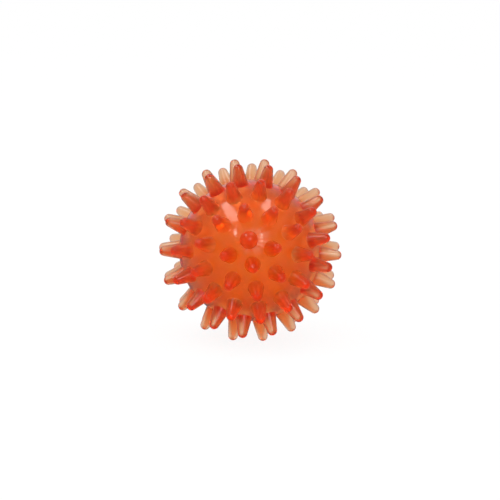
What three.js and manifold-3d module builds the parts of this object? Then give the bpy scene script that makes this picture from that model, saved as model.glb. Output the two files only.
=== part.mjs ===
// Soft hollow massage ball: two moulded half shells with solid spikes, joined at the seam, and one air plug.
// Millimetres, +Z up as the ball stands. The origin is the ball's centre and the front pole points to -Y.

import * as THREE from 'three';
import { mergeVertices } from 'three/addons/utils/BufferGeometryUtils.js';
import Module from 'manifold-3d';

const wasm = await Module();
wasm.setup();

// Ball wall, its thick weld rim, and the lip of the rear rim that locates in the front one
const BALL_RADIUS = 27;
const WALL = 2.4;
const RIM_WALL = 3.6;
const RIM_HEIGHT = 3.2;
const LIP_WALL = 1.5;
const LIP_HEIGHT = 1.4;
const SEAM_CLEARANCE = 0.3;

// Spikes: a straight cone with a round end, its foot sunk in the wall
const SPIKE_LENGTH = 8;
const SPIKE_BASE_RADIUS = 3.05;
const SPIKE_TIP_RADIUS = 1.85;
const SPIKE_FOOT = 1.2;

// Rows of spikes on each half, from its pole to the seam, all begun on one meridian
const ROW_PITCH = 20;
const ROW_COUNTS = [1, 6, 12, 16, 18];

// The halves are turned against each other; at the mean meridian the ball stands on four tips beside the seam
const STAND_MERIDIAN = 30;
const SEAM_TWIST = 18.3;

// Air plug, which takes the place of one spike on the front half
const PLUG_ROW = 1;
const PLUG_PLACE = 1;
const PLUG_HEAD_RADIUS = 3.3;
const PLUG_DOME_HEIGHT = 2;
const PLUG_STEM_RADIUS = 1.6;
const PLUG_STEM_END_RADIUS = 1.3;
const PLUG_STEM_PROUD = 0.6;
const PLUG_CLEARANCE = 0.3;
const SEAT_DEPTH = 0.9;
const BOSS_RADIUS = 3.6;
const BOSS_HEIGHT = 2.4;

// Translucent soft plastic
const SHELL_COLOR = 0xe0561e;
const SHELL_ROUGHNESS = 0.25;
const PLUG_COLOR = 0xdb4a14;
const PLUG_ROUGHNESS = 0.15;
const OPACITY = 0.85;

// Facets
const SHELL_SIDES = 36;
const SHELL_STEPS = 9;
const BORE_STEPS = 7;
const SPIKE_SIDES = 10;
const SPIKE_END_STEPS = 2;
const PLUG_SIDES = 20;
const DOME_STEPS = 5;

const degrees = THREE.MathUtils.degToRad;
const POLE = new THREE.Vector3(0, 1, 0);
const INNER_RADIUS = BALL_RADIUS - WALL;

// Points of an arc about (0, height), from one angle above the horizontal to another
function arc(radius, height, from, to, steps) {
  const points = [];
  for (let i = 0; i <= steps; i += 1) {
    const angle = from + ((to - from) * i) / steps;
    points.push(new THREE.Vector2(radius * Math.cos(angle), height + radius * Math.sin(angle)));
  }
  return points;
}

// Profile points that lie on the axis are put exactly on it
function revolve(points, sides) {
  const last = points.length - 1;
  points[0].x = 0;
  points[last].x = 0;
  return new THREE.LatheGeometry(points, sides);
}

// A closed solid from a geometry, with shared vertices merged and collapsed triangles left out
function solid(geometry) {
  const bare = geometry.clone();
  bare.deleteAttribute('normal');
  bare.deleteAttribute('uv');
  const merged = mergeVertices(bare);
  const triangles = [];
  for (let i = 0; i < merged.index.count; i += 3) {
    const [a, b, c] = [merged.index.getX(i), merged.index.getX(i + 1), merged.index.getX(i + 2)];
    if (a !== b && b !== c && c !== a) {
      triangles.push(a, b, c);
    }
  }
  return new wasm.Manifold(new wasm.Mesh({
    numProp: 3,
    vertProperties: new Float32Array(merged.attributes.position.array),
    triVerts: new Uint32Array(triangles),
  }));
}

function geometryOf(manifold) {
  const { vertProperties, triVerts } = manifold.getMesh();
  const geometry = new THREE.BufferGeometry();
  geometry.setAttribute('position', new THREE.BufferAttribute(vertProperties, 3));
  geometry.setIndex(new THREE.BufferAttribute(triVerts, 1));
  geometry.computeVertexNormals();
  return geometry;
}

// One half shell's wall, its pole along +Y: inner arc, thick weld rim with the lip or its recess, outer arc
function wallGeometry(rimStep) {
  const seam = SEAM_CLEARANCE / 2;
  const rimRadius = BALL_RADIUS - RIM_WALL;
  const boreEnd = Math.asin((RIM_HEIGHT + RIM_WALL - WALL) / INNER_RADIUS);
  const points = [
    ...arc(INNER_RADIUS, 0, Math.PI / 2, boreEnd, BORE_STEPS),
    new THREE.Vector2(rimRadius, RIM_HEIGHT),
    new THREE.Vector2(rimRadius, rimStep.height),
    new THREE.Vector2(rimRadius + rimStep.width, rimStep.height),
    new THREE.Vector2(rimRadius + rimStep.width, seam),
    ...arc(BALL_RADIUS, 0, Math.asin(seam / BALL_RADIUS), Math.PI / 2, SHELL_STEPS),
  ];
  return revolve(points, SHELL_SIDES);
}

// The lip reaches past the seam plane, and its recess is larger all round by the clearance
const RIM_LIP = { width: LIP_WALL, height: -LIP_HEIGHT };
const RIM_RECESS = { width: LIP_WALL + SEAM_CLEARANCE, height: LIP_HEIGHT + SEAM_CLEARANCE };

// One spike along +Y: the cone is the tangent from its base circle to its round end
function spikeGeometry() {
  const endCentre = BALL_RADIUS + SPIKE_LENGTH - SPIKE_TIP_RADIUS;
  const rise = endCentre - BALL_RADIUS;
  const slant = Math.hypot(SPIKE_BASE_RADIUS, rise);
  const taper = Math.atan2(SPIKE_BASE_RADIUS, rise) - Math.asin(SPIKE_TIP_RADIUS / slant);
  const foot = BALL_RADIUS - SPIKE_FOOT;
  const points = [
    new THREE.Vector2(0, foot),
    new THREE.Vector2(SPIKE_BASE_RADIUS + SPIKE_FOOT * Math.tan(taper), foot),
    ...arc(SPIKE_TIP_RADIUS, endCentre, taper, Math.PI / 2, SPIKE_END_STEPS),
  ];
  return revolve(points, SPIKE_SIDES);
}

// A round bar along +Y, from one distance to another
function bar(radius, from, to) {
  const points = [
    new THREE.Vector2(0, from),
    new THREE.Vector2(radius, from),
    new THREE.Vector2(radius, to),
    new THREE.Vector2(0, to),
  ];
  return revolve(points, PLUG_SIDES);
}

// Distances from the ball's centre along the plug's axis
const SEAT_LEVEL = BALL_RADIUS - SEAT_DEPTH;
const BOSS_END = INNER_RADIUS - BOSS_HEIGHT;
const STEM_END = BOSS_END - PLUG_STEM_PROUD;

// The plug along +Y: tapered stem, flat under the head, short skirt and domed top
function plugGeometry() {
  const headUnder = SEAT_LEVEL + PLUG_CLEARANCE;
  const domeRadius = (PLUG_HEAD_RADIUS ** 2 + PLUG_DOME_HEIGHT ** 2) / (2 * PLUG_DOME_HEIGHT);
  const domeCentre = BALL_RADIUS + PLUG_DOME_HEIGHT - domeRadius;
  const domeStart = Math.asin((BALL_RADIUS - domeCentre) / domeRadius);
  const points = [
    new THREE.Vector2(0, STEM_END),
    new THREE.Vector2(PLUG_STEM_END_RADIUS, STEM_END),
    new THREE.Vector2(PLUG_STEM_RADIUS, headUnder),
    new THREE.Vector2(PLUG_HEAD_RADIUS, headUnder),
    ...arc(domeRadius, domeCentre, domeStart, Math.PI / 2, DOME_STEPS),
  ];
  return revolve(points, PLUG_SIDES);
}

// Where a spike points: side is -1 on the front half and 1 on the rear one
function direction(side, row, place) {
  const start = STAND_MERIDIAN - (side * SEAM_TWIST) / 2;
  const tilt = degrees(ROW_PITCH * row);
  const turn = degrees(start + (360 * place) / ROW_COUNTS[row]);
  return new THREE.Vector3(
    Math.sin(tilt) * Math.cos(turn),
    side * Math.cos(tilt),
    Math.sin(tilt) * Math.sin(turn),
  );
}

function aimed(geometry, towards) {
  const turn = new THREE.Quaternion().setFromUnitVectors(POLE, towards);
  return geometry.clone().applyQuaternion(turn);
}

// A half shell with a spike at every place of its rows, except where the plug goes
function spikedShell(side, rimStep, isPlugPlace) {
  const spike = spikeGeometry();
  let shell = solid(aimed(wallGeometry(rimStep), direction(side, 0, 0)));
  ROW_COUNTS.forEach((count, row) => {
    for (let place = 0; place < count; place += 1) {
      if (!isPlugPlace(row, place)) {
        shell = shell.add(solid(aimed(spike, direction(side, row, place))));
      }
    }
  });
  return shell;
}

const FRONT = -1;
const REAR = 1;
const plugAxis = direction(FRONT, PLUG_ROW, PLUG_PLACE);

// The front half has a boss inside the wall, a recess for the plug's head and a hole for its stem
function frontShell() {
  const reach = BALL_RADIUS + SPIKE_LENGTH;
  const boss = bar(BOSS_RADIUS, BOSS_END, BALL_RADIUS - WALL / 2);
  const recess = bar(PLUG_HEAD_RADIUS + PLUG_CLEARANCE, SEAT_LEVEL, reach);
  const hole = bar(PLUG_STEM_RADIUS + PLUG_CLEARANCE, 0, reach);
  const isPlugPlace = (row, place) => row === PLUG_ROW && place === PLUG_PLACE;
  return spikedShell(FRONT, RIM_RECESS, isPlugPlace)
    .add(solid(aimed(boss, plugAxis)))
    .subtract(solid(aimed(recess, plugAxis)))
    .subtract(solid(aimed(hole, plugAxis)));
}

function rearShell() {
  return spikedShell(REAR, RIM_LIP, () => false);
}

function softPlastic(color, roughness) {
  return new THREE.MeshStandardMaterial({ color, roughness, transparent: true, opacity: OPACITY });
}

function piece(name, manifold, material) {
  const mesh = new THREE.Mesh(geometryOf(manifold), material);
  mesh.name = name;
  return mesh;
}

const plug = solid(aimed(plugGeometry(), plugAxis));
const ball = new THREE.Group();
ball.add(piece('front_half_shell', frontShell(), softPlastic(SHELL_COLOR, SHELL_ROUGHNESS)));
ball.add(piece('rear_half_shell', rearShell(), softPlastic(SHELL_COLOR, SHELL_ROUGHNESS)));
ball.add(piece('air_plug', plug, softPlastic(PLUG_COLOR, PLUG_ROUGHNESS)));

export default ball;
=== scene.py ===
"""Looks of a soft hollow spiky ball: two spiked half shells, an air plug, a studio and a camera."""

from __future__ import annotations

import logging
import math
from collections.abc import Callable, Iterator
from contextlib import contextmanager
from dataclasses import dataclass, field
from enum import Enum

import bpy
from mathutils import Matrix, Quaternion, Vector

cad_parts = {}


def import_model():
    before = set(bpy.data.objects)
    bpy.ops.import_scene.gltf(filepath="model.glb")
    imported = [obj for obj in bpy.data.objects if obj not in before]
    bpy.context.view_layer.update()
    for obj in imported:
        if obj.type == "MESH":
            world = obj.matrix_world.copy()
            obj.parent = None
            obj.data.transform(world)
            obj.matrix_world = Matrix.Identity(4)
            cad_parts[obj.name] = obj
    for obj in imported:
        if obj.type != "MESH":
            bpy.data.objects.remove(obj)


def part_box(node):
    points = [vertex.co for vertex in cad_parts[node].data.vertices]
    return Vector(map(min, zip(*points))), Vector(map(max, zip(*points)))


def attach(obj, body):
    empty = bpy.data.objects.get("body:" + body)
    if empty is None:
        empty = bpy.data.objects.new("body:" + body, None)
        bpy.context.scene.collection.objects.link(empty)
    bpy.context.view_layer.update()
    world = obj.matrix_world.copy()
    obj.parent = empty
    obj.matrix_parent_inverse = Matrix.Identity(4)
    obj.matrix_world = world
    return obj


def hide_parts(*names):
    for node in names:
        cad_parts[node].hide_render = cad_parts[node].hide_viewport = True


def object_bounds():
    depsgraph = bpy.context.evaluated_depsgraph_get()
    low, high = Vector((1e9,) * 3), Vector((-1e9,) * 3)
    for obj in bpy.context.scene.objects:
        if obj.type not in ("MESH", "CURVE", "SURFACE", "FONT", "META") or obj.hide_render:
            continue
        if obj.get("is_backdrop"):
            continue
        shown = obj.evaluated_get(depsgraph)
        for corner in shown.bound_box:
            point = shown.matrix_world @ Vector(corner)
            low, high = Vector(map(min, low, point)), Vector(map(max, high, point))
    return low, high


LOG = logging.getLogger("spiky_ball")
PHOTO_SIDE_PX = 500
UP = Vector((0.0, 0.0, 1.0))

# The UV map that keeps directions about a spike's axis
AROUND = "around"

# Lengths below this count as none
TINY = 1e-6

# A face lies across an axis if its normal has more than this along it
ACROSS = 0.99

Colour = tuple[float, float, float]
WHITE: Colour = (1.0, 1.0, 1.0)


class Half(Enum):
    """The two half shells, by the way their pole points along Y."""

    FRONT = -1
    REAR = 1


class LampShape(Enum):
    """The shapes that a soft lamp can have."""

    BOX = "RECTANGLE"
    OVAL = "ELLIPSE"


class Join(Enum):
    """The ways to combine two closed meshes."""

    ADD = "UNION"
    CUT = "DIFFERENCE"


# Modelling helpers


def deselect_all() -> None:
    """Leave nothing selected, so that an operator acts on new work alone."""
    bpy.ops.object.select_all(action="DESELECT")


def take(piece: bpy.types.Object) -> None:
    """Make one object the only selected and active one.

    Args:
        piece: The object to take.
    """
    deselect_all()
    piece.select_set(True)
    bpy.context.view_layer.objects.active = piece


@contextmanager
def editing_faces(piece: bpy.types.Object) -> Iterator[None]:
    """Enter edit mode on one object's faces for a while.

    Args:
        piece: The object to edit.

    Returns:
        A context in which edit-mode operators act on the object.
    """
    take(piece)
    bpy.context.tool_settings.mesh_select_mode = (False, False, True)
    bpy.ops.object.mode_set(mode="EDIT")
    try:
        yield
    finally:
        bpy.ops.object.mode_set(mode="OBJECT")


def select_faces(piece: bpy.types.Object, wanted: Callable[[Vector, Vector], bool]) -> None:
    """Select the faces whose centre and normal pass a test, and no others.

    Args:
        piece: A mesh object in object mode.
        wanted: Test of a face's centre and normal.
    """
    mesh = piece.data
    mesh.vertices.foreach_set("select", [False] * len(mesh.vertices))
    mesh.edges.foreach_set("select", [False] * len(mesh.edges))
    for face in mesh.polygons:
        face.select = wanted(face.center, face.normal)


def apply_place(piece: bpy.types.Object) -> None:
    """Move an object's place, turn and scale into its mesh."""
    take(piece)
    bpy.ops.object.transform_apply(location=True, rotation=True, scale=True)


def aim(piece: bpy.types.Object, direction: Vector) -> None:
    """Turn a piece that was modelled along +Z so that it points along a direction.

    Args:
        piece: The piece to turn.
        direction: A unit vector from the ball's centre.
    """
    piece.rotation_mode = "QUATERNION"
    piece.rotation_quaternion = UP.rotation_difference(direction)
    apply_place(piece)


def combine(piece: bpy.types.Object, tool: bpy.types.Object, way: Join) -> None:
    """Join or cut a piece with another one, which is used up.

    Args:
        piece: The closed mesh that is changed.
        tool: The closed mesh that joins or cuts it.
        way: Whether it joins or cuts.
    """
    take(piece)
    modifier = piece.modifiers.new("combine", "BOOLEAN")
    modifier.operation = way.value
    modifier.solver = "MANIFOLD"
    modifier.object = tool
    bpy.ops.object.modifier_apply(modifier=modifier.name)
    bpy.data.objects.remove(tool, do_unlink=True)


def gather(pieces: list[bpy.types.Object]) -> bpy.types.Object:
    """Put several meshes that don't touch into one object.

    Args:
        pieces: The objects to gather.

    Returns:
        The object that now holds them all.
    """
    take(pieces[0])
    for piece in pieces:
        piece.select_set(True)
    bpy.ops.object.join()
    return pieces[0]


def round_bar(
    base_radius: float, end_radius: float, low: float, high: float, sides: int
) -> bpy.types.Object:
    """Add a straight or tapered round bar along +Z.

    Args:
        base_radius: Its radius at the low end.
        end_radius: Its radius at the high end.
        low: Where it starts on the axis.
        high: Where it ends on the axis.
        sides: How many sides it has.

    Returns:
        The bar, with its place in its mesh.
    """
    deselect_all()
    bpy.ops.mesh.primitive_cone_add(
        vertices=sides,
        radius1=base_radius,
        radius2=end_radius,
        depth=high - low,
        location=(0.0, 0.0, (low + high) / 2),
        calc_uvs=False,
    )
    bar = bpy.context.active_object
    apply_place(bar)
    return bar


def grow_dome(piece: bpy.types.Object, rings: list[tuple[float, float]], apex: float) -> None:
    """Close the flat top of a round piece along +Z with a dome.

    Args:
        piece: The object, whose highest face is the first ring.
        rings: Radius and height of each ring of the dome, from that face's own ring to the last.
        apex: Height of the dome's highest point.
    """
    top = rings[0][1]
    select_faces(piece, lambda centre, normal: abs(centre.z - top) < TINY and normal.z > ACROSS)
    with editing_faces(piece):
        for (radius, height), (new_radius, new_height) in zip(rings, rings[1:]):
            bpy.ops.mesh.extrude_region_move(
                TRANSFORM_OT_translate={"value": (0.0, 0.0, new_height - height)}
            )
            share = new_radius / radius
            bpy.ops.transform.resize(
                value=(share, share, 1.0), center_override=(0.0, 0.0, new_height)
            )
        bpy.ops.mesh.poke(offset=apex - rings[-1][1])


def mark_around(piece: bpy.types.Object) -> None:
    """Keep each corner's direction about the Z axis in a UV map, which the draw lines follow.

    Args:
        piece: A round piece along +Z.
    """
    mesh = piece.data
    layer = mesh.uv_layers.new(name=AROUND)
    for corner in mesh.loops:
        across = mesh.vertices[corner.vertex_index].co.xy
        if across.length > TINY:
            layer.data[corner.index].uv = across.normalized()


def smooth(piece: bpy.types.Object, sharp_degrees: float) -> None:
    """Shade a piece smooth, with the edges sharper than an angle kept sharp."""
    take(piece)
    bpy.ops.object.shade_smooth_by_angle(angle=math.radians(sharp_degrees))


def paint(piece: bpy.types.Object, material: bpy.types.Material) -> None:
    """Give a piece one material all over."""
    piece.data.materials.clear()
    piece.data.materials.append(material)


# Finishes


def opaque(colour: Colour) -> tuple[float, float, float, float]:
    """A colour as a colour socket takes it."""
    return (*colour, 1.0)


@dataclass
class Nodes:
    """A node tree with short ways to add and link nodes."""

    tree: bpy.types.NodeTree

    def add(self, kind: str, **values: object) -> bpy.types.Node:
        """Add a node and set its plain properties.

        Args:
            kind: The node's type name.
            values: Properties of the node.

        Returns:
            The new node.
        """
        made = self.tree.nodes.new(kind)
        for name, value in values.items():
            setattr(made, name, value)
        return made

    def feed(self, socket: bpy.types.NodeSocket, given: object) -> None:
        """Give an input socket a link or a plain value.

        Args:
            socket: The input socket.
            given: An output socket to link, or a value.
        """
        if isinstance(given, bpy.types.NodeSocket):
            self.tree.links.new(given, socket)
        else:
            socket.default_value = given

    def math(self, operation: str, *given: object) -> bpy.types.NodeSocket:
        """Add a Math node.

        Args:
            operation: What it works out.
            given: Links or values for its inputs.

        Returns:
            Its value.
        """
        made = self.add("ShaderNodeMath", operation=operation)
        for socket, value in zip(made.inputs, given):
            self.feed(socket, value)
        return made.outputs["Value"]

    def vector(self, operation: str, *given: object) -> bpy.types.Node:
        """Add a Vector Math node.

        Args:
            operation: What it works out.
            given: Links or values for its inputs.

        Returns:
            The node, whose result is a vector or a value.
        """
        made = self.add("ShaderNodeVectorMath", operation=operation)
        for socket, value in zip(made.inputs, given):
            self.feed(socket, value)
        return made

    def mix(self, kind: str, factor: object, first: object, second: object) -> bpy.types.NodeSocket:
        """Add a Mix node.

        Args:
            kind: FLOAT for values or RGBA for colours.
            factor: The share of the second input.
            first: A link or value for the first input.
            second: A link or value for the second input.

        Returns:
            Its result.
        """
        made = self.add("ShaderNodeMix", data_type=kind)
        wanted = {"FLOAT": "VALUE"}.get(kind, kind)
        sockets = [socket for socket in made.inputs if socket.type == wanted and socket.enabled]
        for socket, value in zip(sockets[-2:], (first, second)):
            self.feed(socket, value)
        self.feed(made.inputs["Factor"], factor)
        return next(socket for socket in made.outputs if socket.enabled)

    def fade(
        self, value: object, start: float, end: float, low: object, high: object
    ) -> bpy.types.NodeSocket:
        """Add a Map Range node that goes smoothly from one value to another.

        Args:
            value: What it follows.
            start: Where the fade starts.
            end: Where the fade ends.
            low: The result up to the start.
            high: The result from the end on.

        Returns:
            Its result.
        """
        made = self.add("ShaderNodeMapRange", interpolation_type="SMOOTHSTEP")
        labels = ("Value", "From Min", "From Max", "To Min", "To Max")
        for label, given in zip(labels, (value, start, end, low, high)):
            self.feed(made.inputs[label], given)
        return made.outputs["Result"]

    def noise(self, place: object, scale: object, detail: float) -> bpy.types.NodeSocket:
        """Add a Noise texture.

        Args:
            place: The point that it is read at.
            scale: How fine it is.
            detail: How many finer layers it has.

        Returns:
            Its value, from 0 to 1.
        """
        made = self.add("ShaderNodeTexNoise")
        self.feed(made.inputs["Vector"], place)
        self.feed(made.inputs["Scale"], scale)
        self.feed(made.inputs["Detail"], detail)
        return made.outputs["Fac"]

    def by_ray(
        self, plain: object, mirrored: object, through: object, seen: object
    ) -> bpy.types.NodeSocket:
        """Add a value that depends on the kind of ray that asks for it.

        Args:
            plain: The value for rays that light the scene.
            mirrored: The value for rays from a gloss.
            through: The value for rays that come through clear plastic.
            seen: The value for rays from the camera.

        Returns:
            The value for each ray.
        """
        path = self.add("ShaderNodeLightPath").outputs
        value = self.mix("FLOAT", path["Is Glossy Ray"], plain, mirrored)
        value = self.mix("FLOAT", path["Is Transmission Ray"], value, through)
        return self.mix("FLOAT", path["Is Camera Ray"], value, seen)


@dataclass(frozen=True)
class MouldedSkin:
    """Shared effect: the skin of a soft moulding, glossy outside and dull inside.

    Faint ripples go all over and make the gloss patchy, draw lines run along the spikes, and creases and
    streaks of gloss run out from the plug. Depths are shares of the ripples' depth, and lengths are metres
    from the plug's axis or, for the spike tips, from the ball's centre.
    """

    name: str = "moulded_skin"
    ripple_detail: float = 3.0
    line_scale: float = 5.0
    line_detail: float = 2.0
    line_depth: float = 0.4
    crease_scale: float = 7.0
    crease_detail: float = 3.0
    crease_depth: float = 2.5
    crease_start: float = 0.004
    crease_end: float = 0.015
    streak_low: float = 0.36
    streak_high: float = 0.62
    streak_coat: float = 1.0
    patch_low: float = 0.36
    patch_high: float = 0.48
    patch_coat: float = 0.5
    tip_start: float = 0.0285
    tip_end: float = 0.0325
    gloss_spread: float = 0.05
    cloud_scale: float = 70.0
    cloud_detail: float = 2.0

    vectors: tuple[str, ...] = ("Place", "Around", "Plug Axis")
    colours: tuple[str, ...] = ("Outer Tint", "Cloud Tint", "Inner Tint")
    values: tuple[str, ...] = (
        "Dull Below",
        "Gloss Roughness",
        "Dull Roughness",
        "Tip Roughness",
        "Ripple Scale",
        "Creases",
        "Coat",
    )
    results: tuple[str, ...] = ("Roughness", "Height", "Coat")

    def sockets(self, tree: bpy.types.NodeTree) -> None:
        """Name what goes in and what comes out.

        Args:
            tree: The new node group.
        """
        kinds = (("Vector", self.vectors), ("Color", self.colours), ("Float", self.values))
        for kind, labels in kinds:
            for label in labels:
                tree.interface.new_socket(label, in_out="INPUT", socket_type=f"NodeSocket{kind}")
        tree.interface.new_socket("Tint", in_out="OUTPUT", socket_type="NodeSocketColor")
        for label in self.results:
            tree.interface.new_socket(label, in_out="OUTPUT", socket_type="NodeSocketFloat")

    def beside_plug(
        self, nodes: Nodes, given: bpy.types.NodeOutputs
    ) -> tuple[bpy.types.NodeSocket, bpy.types.NodeSocket]:
        """Work out where the creases are.

        Args:
            nodes: The group's nodes.
            given: What goes into the group.

        Returns:
            A mask that fades with the distance from the plug, and a noise that changes only around its axis.
        """
        along = nodes.vector("DOT_PRODUCT", given["Place"], given["Plug Axis"]).outputs["Value"]
        axial = nodes.add("ShaderNodeVectorMath", operation="SCALE")
        nodes.feed(axial.inputs["Vector"], given["Plug Axis"])
        nodes.feed(axial.inputs["Scale"], along)
        spoke = nodes.vector("SUBTRACT", given["Place"], axial.outputs["Vector"]).outputs["Vector"]
        reach = nodes.vector("LENGTH", spoke).outputs["Value"]
        turn = nodes.vector("NORMALIZE", spoke).outputs["Vector"]
        near = nodes.fade(reach, self.crease_start, self.crease_end, 1.0, 0.0)
        near = nodes.math("MULTIPLY", near, nodes.math("GREATER_THAN", along, 0.0))
        near = nodes.math("MULTIPLY", near, given["Creases"])
        return near, nodes.noise(turn, self.crease_scale, self.crease_detail)

    def group(self) -> bpy.types.NodeTree:
        """Build the node group once.

        Returns:
            A group that puts out a tint, a roughness, a bump height and a coat.
        """
        found = bpy.data.node_groups.get(self.name)
        if found is not None:
            return found
        tree = bpy.data.node_groups.new(self.name, "ShaderNodeTree")
        self.sockets(tree)
        nodes = Nodes(tree)
        given = nodes.add("NodeGroupInput").outputs
        put = nodes.add("NodeGroupOutput").inputs

        distance = nodes.vector("LENGTH", given["Place"]).outputs["Value"]
        outside = nodes.math("GREATER_THAN", distance, given["Dull Below"])
        ripple = nodes.noise(given["Place"], given["Ripple Scale"], self.ripple_detail)
        lines = nodes.noise(given["Around"], self.line_scale, self.line_detail)
        near, folds = self.beside_plug(nodes, given)

        streaks = nodes.fade(folds, self.streak_low, self.streak_high, 0.0, self.streak_coat)
        patches = nodes.fade(ripple, self.patch_low, self.patch_high, self.patch_coat, 1.0)
        coat = nodes.mix("FLOAT", near, patches, streaks)
        nodes.feed(put["Coat"], nodes.math("MULTIPLY", coat, given["Coat"]))

        crease = nodes.math("MULTIPLY", folds, near)
        height = nodes.math("MULTIPLY_ADD", lines, self.line_depth, ripple)
        height = nodes.math("MULTIPLY_ADD", crease, self.crease_depth, height)
        nodes.feed(put["Height"], height)

        tip = nodes.fade(distance, self.tip_start, self.tip_end, 0.0, 1.0)
        gloss = nodes.mix("FLOAT", tip, given["Gloss Roughness"], given["Tip Roughness"])
        gloss = nodes.math("MULTIPLY_ADD", ripple, self.gloss_spread, gloss)
        nodes.feed(put["Roughness"], nodes.mix("FLOAT", outside, given["Dull Roughness"], gloss))

        cloud = nodes.noise(given["Place"], self.cloud_scale, self.cloud_detail)
        outer = nodes.mix("RGBA", cloud, given["Outer Tint"], given["Cloud Tint"])
        nodes.feed(put["Tint"], nodes.mix("RGBA", outside, given["Inner Tint"], outer))
        return tree


@dataclass(frozen=True)
class SoftPlastic:
    """Cloudy soft plastic under a thin gloss, coloured by how far light goes through it.

    Absorption is per metre, and the skin is dull nearer to the ball's centre than dull_below.
    """

    name: str
    dull_below: float
    plug_axis: Vector
    outer_tint: Colour = (1.0, 0.88, 0.93)
    cloud_tint: Colour = (1.0, 0.83, 0.86)
    inner_tint: Colour = (1.0, 0.335, 0.022)
    veil_tint: Colour = (1.0, 0.8, 0.6)
    absorption: Colour = (0.0, 120.0, 285.0)
    clear: float = 1.0
    refraction: float = 1.3
    gloss_roughness: float = 0.4
    tip_roughness: float = 0.3
    dull_roughness: float = 0.25
    coat: float = 0.9
    coat_roughness: float = 0.04
    coat_refraction: float = 1.5
    ripple_scale: float = 420.0
    ripple_depth: float = 0.00002
    creases: float = 1.0

    def shader(self, nodes: Nodes) -> bpy.types.Node:
        """Add the surface shader with its plain values.

        Args:
            nodes: The material's nodes.

        Returns:
            The shader, not yet linked.
        """
        plastic = nodes.add("ShaderNodeBsdfPrincipled")
        plastic.inputs["IOR"].default_value = self.refraction
        plastic.inputs["Transmission Weight"].default_value = self.clear
        plastic.inputs["Specular Tint"].default_value = opaque(self.veil_tint)
        plastic.inputs["Coat Roughness"].default_value = self.coat_roughness
        plastic.inputs["Coat IOR"].default_value = self.coat_refraction
        return plastic

    def skin(self, nodes: Nodes) -> bpy.types.Node:
        """Add the moulded skin with this plastic's values.

        Args:
            nodes: The material's nodes.

        Returns:
            The skin's group node.
        """
        skin = nodes.add("ShaderNodeGroup", node_tree=MouldedSkin().group())
        given = {
            "Place": nodes.add("ShaderNodeTexCoord").outputs["Object"],
            "Around": nodes.add("ShaderNodeUVMap", uv_map=AROUND).outputs["UV"],
            "Plug Axis": self.plug_axis,
            "Outer Tint": opaque(self.outer_tint),
            "Cloud Tint": opaque(self.cloud_tint),
            "Inner Tint": opaque(self.inner_tint),
            "Dull Below": self.dull_below,
            "Gloss Roughness": self.gloss_roughness,
            "Dull Roughness": self.dull_roughness,
            "Tip Roughness": self.tip_roughness,
            "Ripple Scale": self.ripple_scale,
            "Creases": self.creases,
            "Coat": self.coat,
        }
        for label, value in given.items():
            nodes.feed(skin.inputs[label], value)
        return skin

    def material(self) -> bpy.types.Material:
        """Build the material.

        Returns:
            A material with the moulded skin and a clear coloured depth.
        """
        material = bpy.data.materials.new(self.name)
        material.use_nodes = True
        material.node_tree.nodes.clear()
        nodes = Nodes(material.node_tree)
        output = nodes.add("ShaderNodeOutputMaterial")
        plastic = self.shader(nodes)
        nodes.feed(output.inputs["Surface"], plastic.outputs["BSDF"])

        skin = self.skin(nodes)
        nodes.feed(plastic.inputs["Base Color"], skin.outputs["Tint"])
        nodes.feed(plastic.inputs["Roughness"], skin.outputs["Roughness"])
        nodes.feed(plastic.inputs["Coat Weight"], skin.outputs["Coat"])
        bump = nodes.add("ShaderNodeBump")
        bump.inputs["Distance"].default_value = self.ripple_depth
        nodes.feed(bump.inputs["Height"], skin.outputs["Height"])
        nodes.feed(plastic.inputs["Normal"], bump.outputs["Normal"])

        density = max(self.absorption)
        passed = tuple(1.0 - rate / density for rate in self.absorption)
        depth = nodes.add("ShaderNodeVolumeAbsorption")
        depth.inputs["Color"].default_value = opaque(passed)
        depth.inputs["Density"].default_value = density
        nodes.feed(output.inputs["Volume"], depth.outputs["Volume"])
        return material


@dataclass(frozen=True)
class PlugPlastic(SoftPlastic):
    """The plug's plastic: deeper in colour and without creases, under a weaker gloss."""

    outer_tint: Colour = (1.0, 0.56, 0.3)
    cloud_tint: Colour = (1.0, 0.52, 0.27)
    coat_refraction: float = 1.36
    creases: float = 0.0


# The ball


@dataclass(frozen=True)
class BallWall:
    """The hollow wall that the pieces share, glossy down to a share of its thickness."""

    radius: float = 0.027
    thickness: float = 0.0024
    glossy_share: float = 0.7

    @property
    def inner_radius(self) -> float:
        """Radius of the air space."""
        return self.radius - self.thickness

    @property
    def dull_below(self) -> float:
        """Distance from the ball's centre below which the skin is dull."""
        return self.radius - self.thickness * self.glossy_share


@dataclass(frozen=True)
class SpikeRows:
    """Where the spikes stand: rows about each pole, all begun on one meridian."""

    pitch: float = math.radians(20.0)
    counts: tuple[int, ...] = (1, 6, 12, 16, 18)
    stand_meridian: float = math.radians(30.0)
    seam_twist: float = math.radians(18.3)
    plug_place: tuple[int, int] = (1, 1)

    def direction(self, half: Half, row: int, place: int) -> Vector:
        """Where one spike points.

        Args:
            half: The half shell it is on.
            row: Its row, counted from the pole.
            place: Its place in the row.

        Returns:
            A unit vector from the ball's centre.
        """
        start = self.stand_meridian - half.value * self.seam_twist / 2
        turn = start + math.tau * place / self.counts[row]
        tilt = self.pitch * row
        return Vector((
            math.sin(tilt) * math.cos(turn),
            half.value * math.cos(tilt),
            math.sin(tilt) * math.sin(turn),
        ))

    def places(self) -> Iterator[tuple[int, int]]:
        """Go through the spikes of one half.

        Returns:
            Row and place of each spike.
        """
        for row, count in enumerate(self.counts):
            for place in range(count):
                yield row, place


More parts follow.
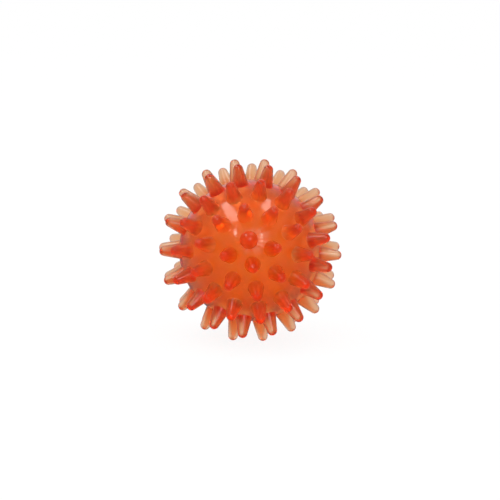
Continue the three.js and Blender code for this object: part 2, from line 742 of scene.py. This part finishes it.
@dataclass
class Spike:
    """One solid spike: a straight cone with a round end."""

    ball_radius: float
    reach: float
    base_radius: float = 0.00305
    tip_radius: float = 0.00185
    foot: float = 0.0012
    sides: int = 36
    end_rings: int = 9

    def model(self) -> bpy.types.Object:
        """Model one spike along +Z.

        Returns:
            The spike's closed mesh, its foot sunk in the wall.
        """
        end_centre = self.reach - self.tip_radius
        rise = end_centre - self.ball_radius
        slant = math.hypot(self.base_radius, rise)
        taper = math.atan2(self.base_radius, rise) - math.asin(self.tip_radius / slant)
        rings = []
        for step in range(self.end_rings):
            angle = taper + (math.pi / 2 - taper) * step / self.end_rings
            radius = self.tip_radius * math.cos(angle)
            rings.append((radius, end_centre + self.tip_radius * math.sin(angle)))
        shoulder_radius, shoulder = rings[0]
        foot_radius = self.base_radius + self.foot * math.tan(taper)
        foot_level = self.ball_radius - self.foot
        spike = round_bar(foot_radius, shoulder_radius, foot_level, shoulder, self.sides)
        grow_dome(spike, rings, self.reach)
        mark_around(spike)
        return spike

    def copies(self, directions: list[Vector]) -> bpy.types.Object:
        """Copy the spike to every direction.

        Args:
            directions: Unit vectors from the ball's centre.

        Returns:
            One object that holds all the spikes.
        """
        pattern = self.model()
        made = []
        for direction in directions:
            copy = pattern.copy()
            copy.data = pattern.data.copy()
            bpy.context.scene.collection.objects.link(copy)
            aim(copy, direction)
            made.append(copy)
        bpy.data.objects.remove(pattern, do_unlink=True)
        return gather(made)


@dataclass
class AirPlug:
    """The round-headed stopper in the place of one spike."""

    axis: Vector
    ball_radius: float
    inner_radius: float
    head_radius: float = 0.0033
    dome_height: float = 0.002
    stem_radius: float = 0.0016
    stem_end_radius: float = 0.0013
    stem_proud: float = 0.0006
    clearance: float = 0.00008
    seat_depth: float = 0.0009
    boss_radius: float = 0.0036
    boss_height: float = 0.0024
    sides: int = 64
    dome_rings: int = 14
    sharp_degrees: float = 35.0

    @property
    def seat_level(self) -> float:
        """Distance of the recess's floor from the ball's centre."""
        return self.ball_radius - self.seat_depth

    @property
    def boss_end(self) -> float:
        """Distance of the boss's inner end from the ball's centre."""
        return self.inner_radius - self.boss_height

    def bar(self, radius: float, low: float, high: float) -> bpy.types.Object:
        """Add a straight round bar on the plug's axis.

        Args:
            radius: Its radius.
            low: Where it starts, from the ball's centre.
            high: Where it ends, from the ball's centre.

        Returns:
            The bar.
        """
        made = round_bar(radius, radius, low, high, self.sides)
        aim(made, self.axis)
        return made

    def boss(self) -> bpy.types.Object:
        """The collar inside the wall that holds the stem."""
        return self.bar(self.boss_radius, self.boss_end, (self.ball_radius + self.inner_radius) / 2)

    def cuts(self, reach: float) -> list[bpy.types.Object]:
        """The recess for the head and the hole for the stem, which starts well inside the air space.

        Args:
            reach: How far out the cuts go.

        Returns:
            Two round bars to take out of the wall.
        """
        recess = self.bar(self.head_radius + self.clearance, self.seat_level, reach)
        hole = self.bar(self.stem_radius + self.clearance, self.boss_end / 2, reach)
        return [recess, hole]

    def build(self) -> bpy.types.Object:
        """Model the plug: a tapered stem, a flat under the head, a short skirt and a dome.

        Returns:
            The plug, in its seat.
        """
        under = self.seat_level + self.clearance
        low = self.boss_end - self.stem_proud
        plug = round_bar(self.stem_end_radius, self.stem_radius, low, under, self.sides)
        plug.name = "air_plug_dressed"
        dome_radius = (self.head_radius**2 + self.dome_height**2) / (2 * self.dome_height)
        dome_centre = self.ball_radius + self.dome_height - dome_radius
        start = math.asin((self.ball_radius - dome_centre) / dome_radius)
        rings = [(self.stem_radius, under), (self.head_radius, under)]
        for step in range(self.dome_rings):
            angle = start + (math.pi / 2 - start) * step / self.dome_rings
            rings.append((dome_radius * math.cos(angle), dome_centre + dome_radius * math.sin(angle)))
        grow_dome(plug, rings, self.ball_radius + self.dome_height)
        aim(plug, self.axis)
        smooth(plug, self.sharp_degrees)
        return plug

    def dress(self, plug: bpy.types.Object, material: bpy.types.Material) -> None:
        """Give the plug its finish and tie it to the frame.

        Args:
            plug: The finished plug.
            material: Its plastic.
        """
        paint(plug, material)
        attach(plug, "plug")
        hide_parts("air_plug")


@dataclass
class HalfShell:
    """One half of the ball: a hollow bowl with a thick weld rim and its spikes."""

    half: Half
    wall: BallWall
    rows: SpikeRows
    spike: Spike
    plug: AirPlug | None = None
    rim_wall: float = 0.0036
    rim_height: float = 0.0032
    seam_clearance: float = 0.00002
    sides: int = 144
    rings: int = 72
    sharp_degrees: float = 32.0

    @property
    def name(self) -> str:
        """The CAD node that this half stands for."""
        return f"{self.half.name.lower()}_half_shell"

    @property
    def seam(self) -> float:
        """Where this half ends along Y."""
        return self.half.value * self.seam_clearance / 2

    def thicken_rim(self, bowl: bpy.types.Object) -> None:
        """Grow the inner wall inwards beside the seam, with a sloped step where the rim ends.

        Args:
            bowl: The hollow wall.
        """
        middle = self.wall.radius - self.wall.thickness / 2
        step = self.rim_wall - self.wall.thickness
        foot = self.rim_height + step

        def beside_seam(centre: Vector, normal: Vector) -> bool:
            """Whether a face of the inner wall is beside the seam, but not in it."""
            return centre.length < middle and abs(centre.y) < foot and abs(normal.y) < ACROSS

        select_faces(bowl, beside_seam)
        with editing_faces(bowl):
            bpy.ops.mesh.extrude_region_shrink_fatten(TRANSFORM_OT_shrink_fatten={"value": step})
            bpy.ops.transform.resize(
                value=(1.0, self.rim_height / foot, 1.0), center_override=(0.0, self.seam, 0.0)
            )

    def bowl(self) -> bpy.types.Object:
        """Model the hollow wall: half a sphere, thickened inwards, with a thicker rim at the seam.

        Returns:
            The closed wall, without spikes.
        """
        deselect_all()
        bpy.ops.mesh.primitive_uv_sphere_add(
            segments=self.sides,
            ring_count=self.rings,
            radius=self.wall.radius,
            rotation=(math.pi / 2, 0.0, 0.0),
            calc_uvs=False,
        )
        bowl = bpy.context.active_object
        bowl.name = f"{self.name}_dressed"
        apply_place(bowl)
        with editing_faces(bowl):
            bpy.ops.mesh.select_all(action="SELECT")
            bpy.ops.mesh.bisect(
                plane_co=(0.0, self.seam, 0.0), plane_no=(0.0, self.half.value, 0.0), clear_inner=True
            )
        inwards = bowl.modifiers.new("inwards", "SOLIDIFY")
        inwards.thickness = self.wall.thickness
        inwards.offset = -1.0
        take(bowl)
        bpy.ops.object.modifier_apply(modifier=inwards.name)
        self.thicken_rim(bowl)

        # The wall has no direction about a spike's axis
        bowl.data.uv_layers.new(name=AROUND)
        flat = bowl.data.uv_layers[AROUND].data
        flat.foreach_set("uv", [0.0] * (2 * len(flat)))
        return bowl

    def build(self) -> bpy.types.Object:
        """Model the bowl, join its spikes to it and make the plug's seat where it has one.

        Returns:
            The finished half shell.
        """
        shell = self.bowl()
        directions = [
            self.rows.direction(self.half, row, place)
            for row, place in self.rows.places()
            if self.plug is None or (row, place) != self.rows.plug_place
        ]
        combine(shell, self.spike.copies(directions), Join.ADD)
        if self.plug is not None:
            combine(shell, self.plug.boss(), Join.ADD)
            for cut in self.plug.cuts(self.spike.reach):
                combine(shell, cut, Join.CUT)
        smooth(shell, self.sharp_degrees)
        return shell

    def dress(self, shell: bpy.types.Object, material: bpy.types.Material) -> None:
        """Give the shell its finish and tie it to the frame.

        Args:
            shell: The finished half shell.
            material: Its plastic.
        """
        paint(shell, material)
        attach(shell, "ball")
        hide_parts(self.name)


# The studio


@dataclass
class Softbox:
    """A soft lamp, rectangular or oval, that hangs between two places and faces the ball."""

    name: str
    near: Vector
    far: Vector
    width: float
    radiance: float
    shape: LampShape = LampShape.BOX

    def build(self, level: float) -> None:
        """Hang the lamp.

        Args:
            level: Brightness of all the lamps together.
        """
        run = self.far - self.near
        data = bpy.data.lights.new(self.name, "AREA")
        data.shape = self.shape.value
        data.size = self.width
        data.size_y = run.length
        data.energy = level * self.radiance * math.pi * self.width * run.length
        lamp = bpy.data.objects.new(self.name, data)
        lamp.visible_camera = False
        middle = (self.near + self.far) / 2
        back = middle.normalized()
        along = (run - back * run.dot(back)).normalized()
        axes = Matrix((along.cross(back), along, back)).transposed()
        lamp.matrix_world = Matrix.Translation(middle) @ axes.to_4x4()
        bpy.context.scene.collection.objects.link(lamp)


@dataclass
class Glow:
    """A soft round glow in front of the ball, which only its gloss shows."""

    direction: Vector
    level: float
    outer_angle: float = math.radians(16.0)
    inner_angle: float = math.radians(2.0)

    def add_to(self, nodes: Nodes, towards: bpy.types.NodeSocket, light: object) -> bpy.types.NodeSocket:
        """Add the glow to the light that comes from each direction.

        Args:
            nodes: The nodes of the world.
            towards: The direction of a ray.
            light: The light without this glow.

        Returns:
            The light with it.
        """
        facing = nodes.vector("DOT_PRODUCT", towards, self.direction.normalized()).outputs["Value"]
        edge, middle = math.cos(self.outer_angle), math.cos(self.inner_angle)
        return nodes.math("ADD", light, nodes.fade(facing, edge, middle, 0.0, self.level))


def hung_lamps() -> list[Softbox]:
    """List the lamps above the ball.

    Returns:
        Two wide boxes and, in front of them, two narrow strips.
    """
    return [
        Softbox(
            name="softbox_left",
            near=Vector((-0.245, -0.27, 0.477)),
            far=Vector((-0.264, 0.18, 0.51)),
            width=0.14,
            radiance=5.0,
        ),
        Softbox(
            name="softbox_right",
            near=Vector((0.183, -0.098, 0.562)),
            far=Vector((0.179, 0.172, 0.546)),
            width=0.11,
            radiance=5.0,
        ),
        Softbox(
            name="strip_left",
            near=Vector((-0.25, -0.46, 0.27)),
            far=Vector((-0.23, -0.33, 0.44)),
            width=0.05,
            radiance=7.0,
            shape=LampShape.OVAL,
        ),
        Softbox(
            name="strip_right",
            near=Vector((0.16, -0.52, 0.21)),
            far=Vector((0.15, -0.42, 0.41)),
            width=0.04,
            radiance=6.0,
            shape=LampShape.OVAL,
        ),
    ]


def front_glows() -> list[Glow]:
    """List the glows that make the haze around the plug.

    Returns:
        A faint one at the left, one at the right and a broad one between them.
    """
    return [
        Glow(direction=Vector((-0.41, -0.68, 0.6)), level=0.4),
        Glow(direction=Vector((0.22, -0.82, 0.52)), level=1.6, outer_angle=math.radians(22.0)),
        Glow(direction=Vector((0.06, -0.9, 0.42)), level=1.6, outer_angle=math.radians(26.0)),
    ]


@dataclass
class Studio:
    """Pale floor, soft light and the camera of the photograph.

    The floor and the world have levels of their own for rays from a gloss (mirrored) and for rays that come
    through clear plastic (through). The world's change from the camera's side to the far side.
    """

    floor_height: float
    ball_radius: float
    ball_radius_px: float = 70.95
    camera_distance: float = 1.0465
    camera_azimuth: float = math.radians(-92.23)
    camera_elevation: float = math.radians(11.7)
    camera_roll: float = math.radians(0.97)
    sensor_width_mm: float = 36.0
    floor_size: float = 6.0
    floor_albedo: float = 0.98
    floor_glow: float = 0.9
    floor_mirrored: float = 0.1
    floor_through: float = 0.768
    room_light: float = 1.0
    mirrored_range: tuple[float, float] = (0.464, 0.964)
    mirrored_near: float = 0.03
    mirrored_far: float = 0.7
    through_range: tuple[float, float] = (0.1, 0.6)
    through_near: float = 1.37
    through_far: float = 0.8
    lamp_level: float = 0.78
    light_bounces: int = 40
    softboxes: list[Softbox] = field(default_factory=hung_lamps)
    glows: list[Glow] = field(default_factory=front_glows)

    def camera(self) -> None:
        """Set the camera at the photograph's place."""
        data = bpy.data.cameras.new("camera")
        data.sensor_width = self.sensor_width_mm
        focal_px = self.ball_radius_px * self.camera_distance / self.ball_radius
        data.lens = self.sensor_width_mm * focal_px / PHOTO_SIDE_PX
        camera = bpy.data.objects.new("camera", data)
        level = math.cos(self.camera_elevation)
        back = Vector((
            level * math.cos(self.camera_azimuth),
            level * math.sin(self.camera_azimuth),
            math.sin(self.camera_elevation),
        ))
        camera.rotation_mode = "QUATERNION"
        camera.rotation_quaternion = back.to_track_quat("Z", "Y") @ Quaternion(UP, self.camera_roll)
        camera.location = back * self.camera_distance
        bpy.context.scene.collection.objects.link(camera)
        bpy.context.scene.camera = camera

    def world(self) -> None:
        """Surround the ball with white, which gloss shows dark on the camera's side apart from the glows."""
        world = bpy.data.worlds.new("studio")
        bpy.context.scene.world = world
        world.use_nodes = True
        world.node_tree.nodes.clear()
        nodes = Nodes(world.node_tree)
        apart = nodes.add("ShaderNodeSeparateXYZ")
        towards = nodes.add("ShaderNodeTexCoord").outputs["Generated"]
        nodes.feed(apart.inputs["Vector"], towards)
        away = apart.outputs["Y"]
        mirrored = nodes.fade(away, *self.mirrored_range, self.mirrored_near, self.mirrored_far)
        through = nodes.fade(away, *self.through_range, self.through_near, self.through_far)
        for glow in self.glows:
            mirrored = glow.add_to(nodes, towards, mirrored)
        light = nodes.add("ShaderNodeBackground")
        light.inputs["Color"].default_value = opaque(WHITE)
        nodes.feed(light.inputs["Strength"], nodes.by_ray(self.room_light, mirrored, through, 1.0))
        output = nodes.add("ShaderNodeOutputWorld")
        nodes.feed(output.inputs["Surface"], light.outputs["Background"])

    def floor(self) -> None:
        """Lay the pale floor under the standing tips; it keeps the ball's soft shadow."""
        deselect_all()
        bpy.ops.mesh.primitive_plane_add(size=self.floor_size, location=(0.0, 0.0, self.floor_height))
        floor = bpy.context.active_object
        floor.name = "floor"
        material = bpy.data.materials.new("floor_white")
        material.use_nodes = True
        material.node_tree.nodes.clear()
        nodes = Nodes(material.node_tree)
        pale = self.floor_albedo
        plain = nodes.add("ShaderNodeBsdfDiffuse")
        plain.inputs["Color"].default_value = opaque((pale, pale, pale))
        glow = nodes.add("ShaderNodeEmission")
        strength = nodes.by_ray(0.0, self.floor_mirrored, self.floor_through, 1.0)
        nodes.feed(glow.inputs["Strength"], strength)
        mix = nodes.add("ShaderNodeMixShader")
        nodes.feed(mix.inputs["Fac"], nodes.by_ray(0.0, self.floor_glow, 1.0, self.floor_glow))
        nodes.feed(mix.inputs[1], plain.outputs["BSDF"])
        nodes.feed(mix.inputs[2], glow.outputs["Emission"])
        output = nodes.add("ShaderNodeOutputMaterial")
        nodes.feed(output.inputs["Surface"], mix.outputs["Shader"])
        paint(floor, material)
        floor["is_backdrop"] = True

    def build(self) -> None:
        """Set the camera, the world, the floor and the lamps."""
        self.camera()
        self.world()
        self.floor()
        for softbox in self.softboxes:
            softbox.build(self.lamp_level)
        scene = bpy.context.scene
        scene.view_settings.view_transform = "Standard"
        scene.cycles.max_bounces = self.light_bounces
        scene.cycles.glossy_bounces = self.light_bounces
        scene.cycles.transmission_bounces = self.light_bounces


def report(piece: bpy.types.Object) -> None:
    """Log one finished piece."""
    LOG.info("%s: %d faces", piece.name, len(piece.data.polygons))


def main() -> None:
    """Build the ball and its studio in order."""
    logging.basicConfig(level=logging.INFO, format="%(name)s: %(message)s")
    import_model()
    cad_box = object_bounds()
    wall = BallWall()
    rows = SpikeRows()
    spike = Spike(ball_radius=wall.radius, reach=-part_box("front_half_shell")[0].y)
    axis = rows.direction(Half.FRONT, *rows.plug_place)
    plug = AirPlug(axis=axis, ball_radius=wall.radius, inner_radius=wall.inner_radius)
    front = HalfShell(Half.FRONT, wall, rows, spike, plug)
    rear = HalfShell(Half.REAR, wall, rows, spike)

    shell_skin = SoftPlastic("shell_skin", wall.dull_below, axis).material()
    for shell in (front, rear):
        made = shell.build()
        shell.dress(made, shell_skin)
        report(made)
    stopper = plug.build()
    plug.dress(stopper, PlugPlastic("plug_skin", wall.dull_below, axis).material())
    report(stopper)

    studio = Studio(floor_height=cad_box[0][2], ball_radius=wall.radius)
    studio.build()


if __name__ == "__main__":
    main()
